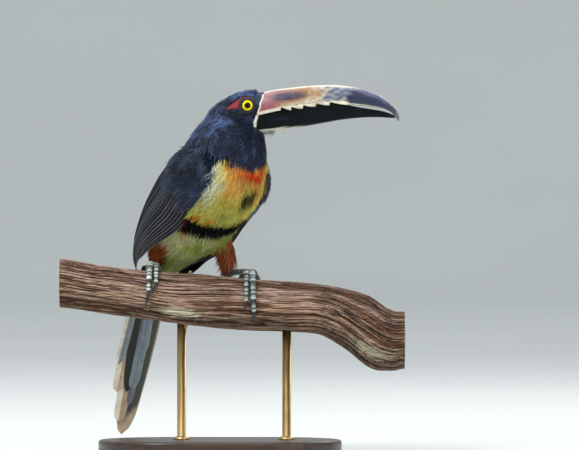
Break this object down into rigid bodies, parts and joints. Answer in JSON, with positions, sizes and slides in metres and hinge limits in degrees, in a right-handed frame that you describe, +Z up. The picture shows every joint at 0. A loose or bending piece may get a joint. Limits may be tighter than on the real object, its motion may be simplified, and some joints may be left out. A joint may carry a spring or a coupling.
{
  "type": "collared aracari toucan on perch",
  "caption": "Life-size still model of a collared aracari, a small toucan, perched upright on a cut branch that a plain display stand holds up.",
  "frame": {"origin": "centre of the stand base's flat underside", "axes": "+Z up; +X along the branch, the way the bill points; the camera of the picture looks along +Y"},
  "size_m": [0.269, 0.1382, 0.2876],
  "materials": {
    "dark_plumage": "blue-black feathers, soft sheen",
    "yellow_plumage": "silky yellow feathers with an orange, red and black pattern",
    "chestnut_plumage": "soft chestnut feathers",
    "tail_plumage": "grey-green feathers with darker shafts",
    "upper_bill": "horn, ivory with a red, orange and dark pattern, satin",
    "lower_bill": "black horn, satin",
    "eye": "wet, yellow iris and dark pupil",
    "foot": "scaly grey-green skin",
    "claw": "dark horn",
    "branch": "weathered bare wood with deep grain",
    "stand_base": "dark stained wood, satin",
    "stand_rod": "satin"
  },
  "bodies": {
    "root": {"trunk": "yellow_plumage", "neck": "dark_plumage", "tail": "tail_plumage", "head": "dark_plumage", "bill_upper": "upper_bill", "bill_lower": "lower_bill", "eye_left": "eye", "eye_right": "eye", "wing_left": "dark_plumage", "wing_right": "dark_plumage", "thigh_left": "chestnut_plumage", "tarsus_left": "foot", "toe_left_1": "foot", "claw_left_1": "claw", "toe_left_2": "foot", "claw_left_2": "claw", "toe_left_3": "foot", "claw_left_3": "claw", "toe_left_4": "foot", "claw_left_4": "claw", "thigh_right": "chestnut_plumage", "tarsus_right": "foot", "toe_right_1": "foot", "claw_right_1": "claw", "toe_right_2": "foot", "claw_right_2": "claw", "toe_right_3": "foot", "claw_right_3": "claw", "toe_right_4": "foot", "claw_right_4": "claw", "perch": "branch", "stand_base": "stand_base", "stand_rod_1": "stand_rod", "stand_rod_2": "stand_rod"}
  },
  "joints": []
}
